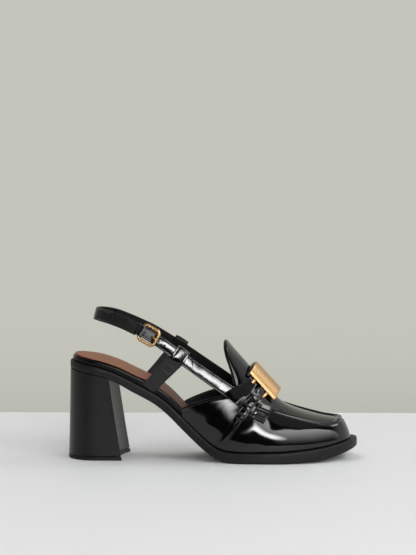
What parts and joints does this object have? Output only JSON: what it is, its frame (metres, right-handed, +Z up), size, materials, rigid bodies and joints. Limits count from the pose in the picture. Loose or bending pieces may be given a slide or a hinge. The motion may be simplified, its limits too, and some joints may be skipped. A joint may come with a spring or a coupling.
{
  "type": "slingback loafer",
  "caption": "Black patent slingback loafer for the right foot, with a moccasin apron, raised tongue, metal instep plate, buckled sling and flared block heel.",
  "frame": {"origin": "on the floor, at the middle of the shoe's length and width", "axes": "+X to the toe, +Z up, -Y the outer (lateral) side of this right shoe"},
  "size_m": [0.24, 0.084, 0.1255],
  "materials": {
    "patent": "black patent, mirror gloss",
    "sole": "matt black",
    "heel": "black, satin sides and a glossy breast",
    "footbed": "black wrapped edge",
    "sock": "tan, matt",
    "elastic": "ribbed matt black",
    "gold": "polished pale gold"
  },
  "bodies": {
    "root": {"outsole": "sole", "heel": "heel", "heel_tip": "sole", "insole_board": "footbed", "insole_sock": "sock", "upper": "patent", "tongue": "patent", "saddle": "patent", "plate": "gold", "vamp_strap_lateral": "patent", "vamp_strap_medial": "patent", "side_tab_lateral": "patent", "side_tab_medial": "patent", "sling_strap_lateral": "patent", "sling_strap_medial": "patent", "sling_back_band": "patent", "elastic_gore": "elastic", "buckle_tab": "patent", "buckle_frame": "gold", "buckle_prong": "gold", "side_strap_lateral": "patent", "side_strap_medial": "patent"}
  },
  "joints": []
}
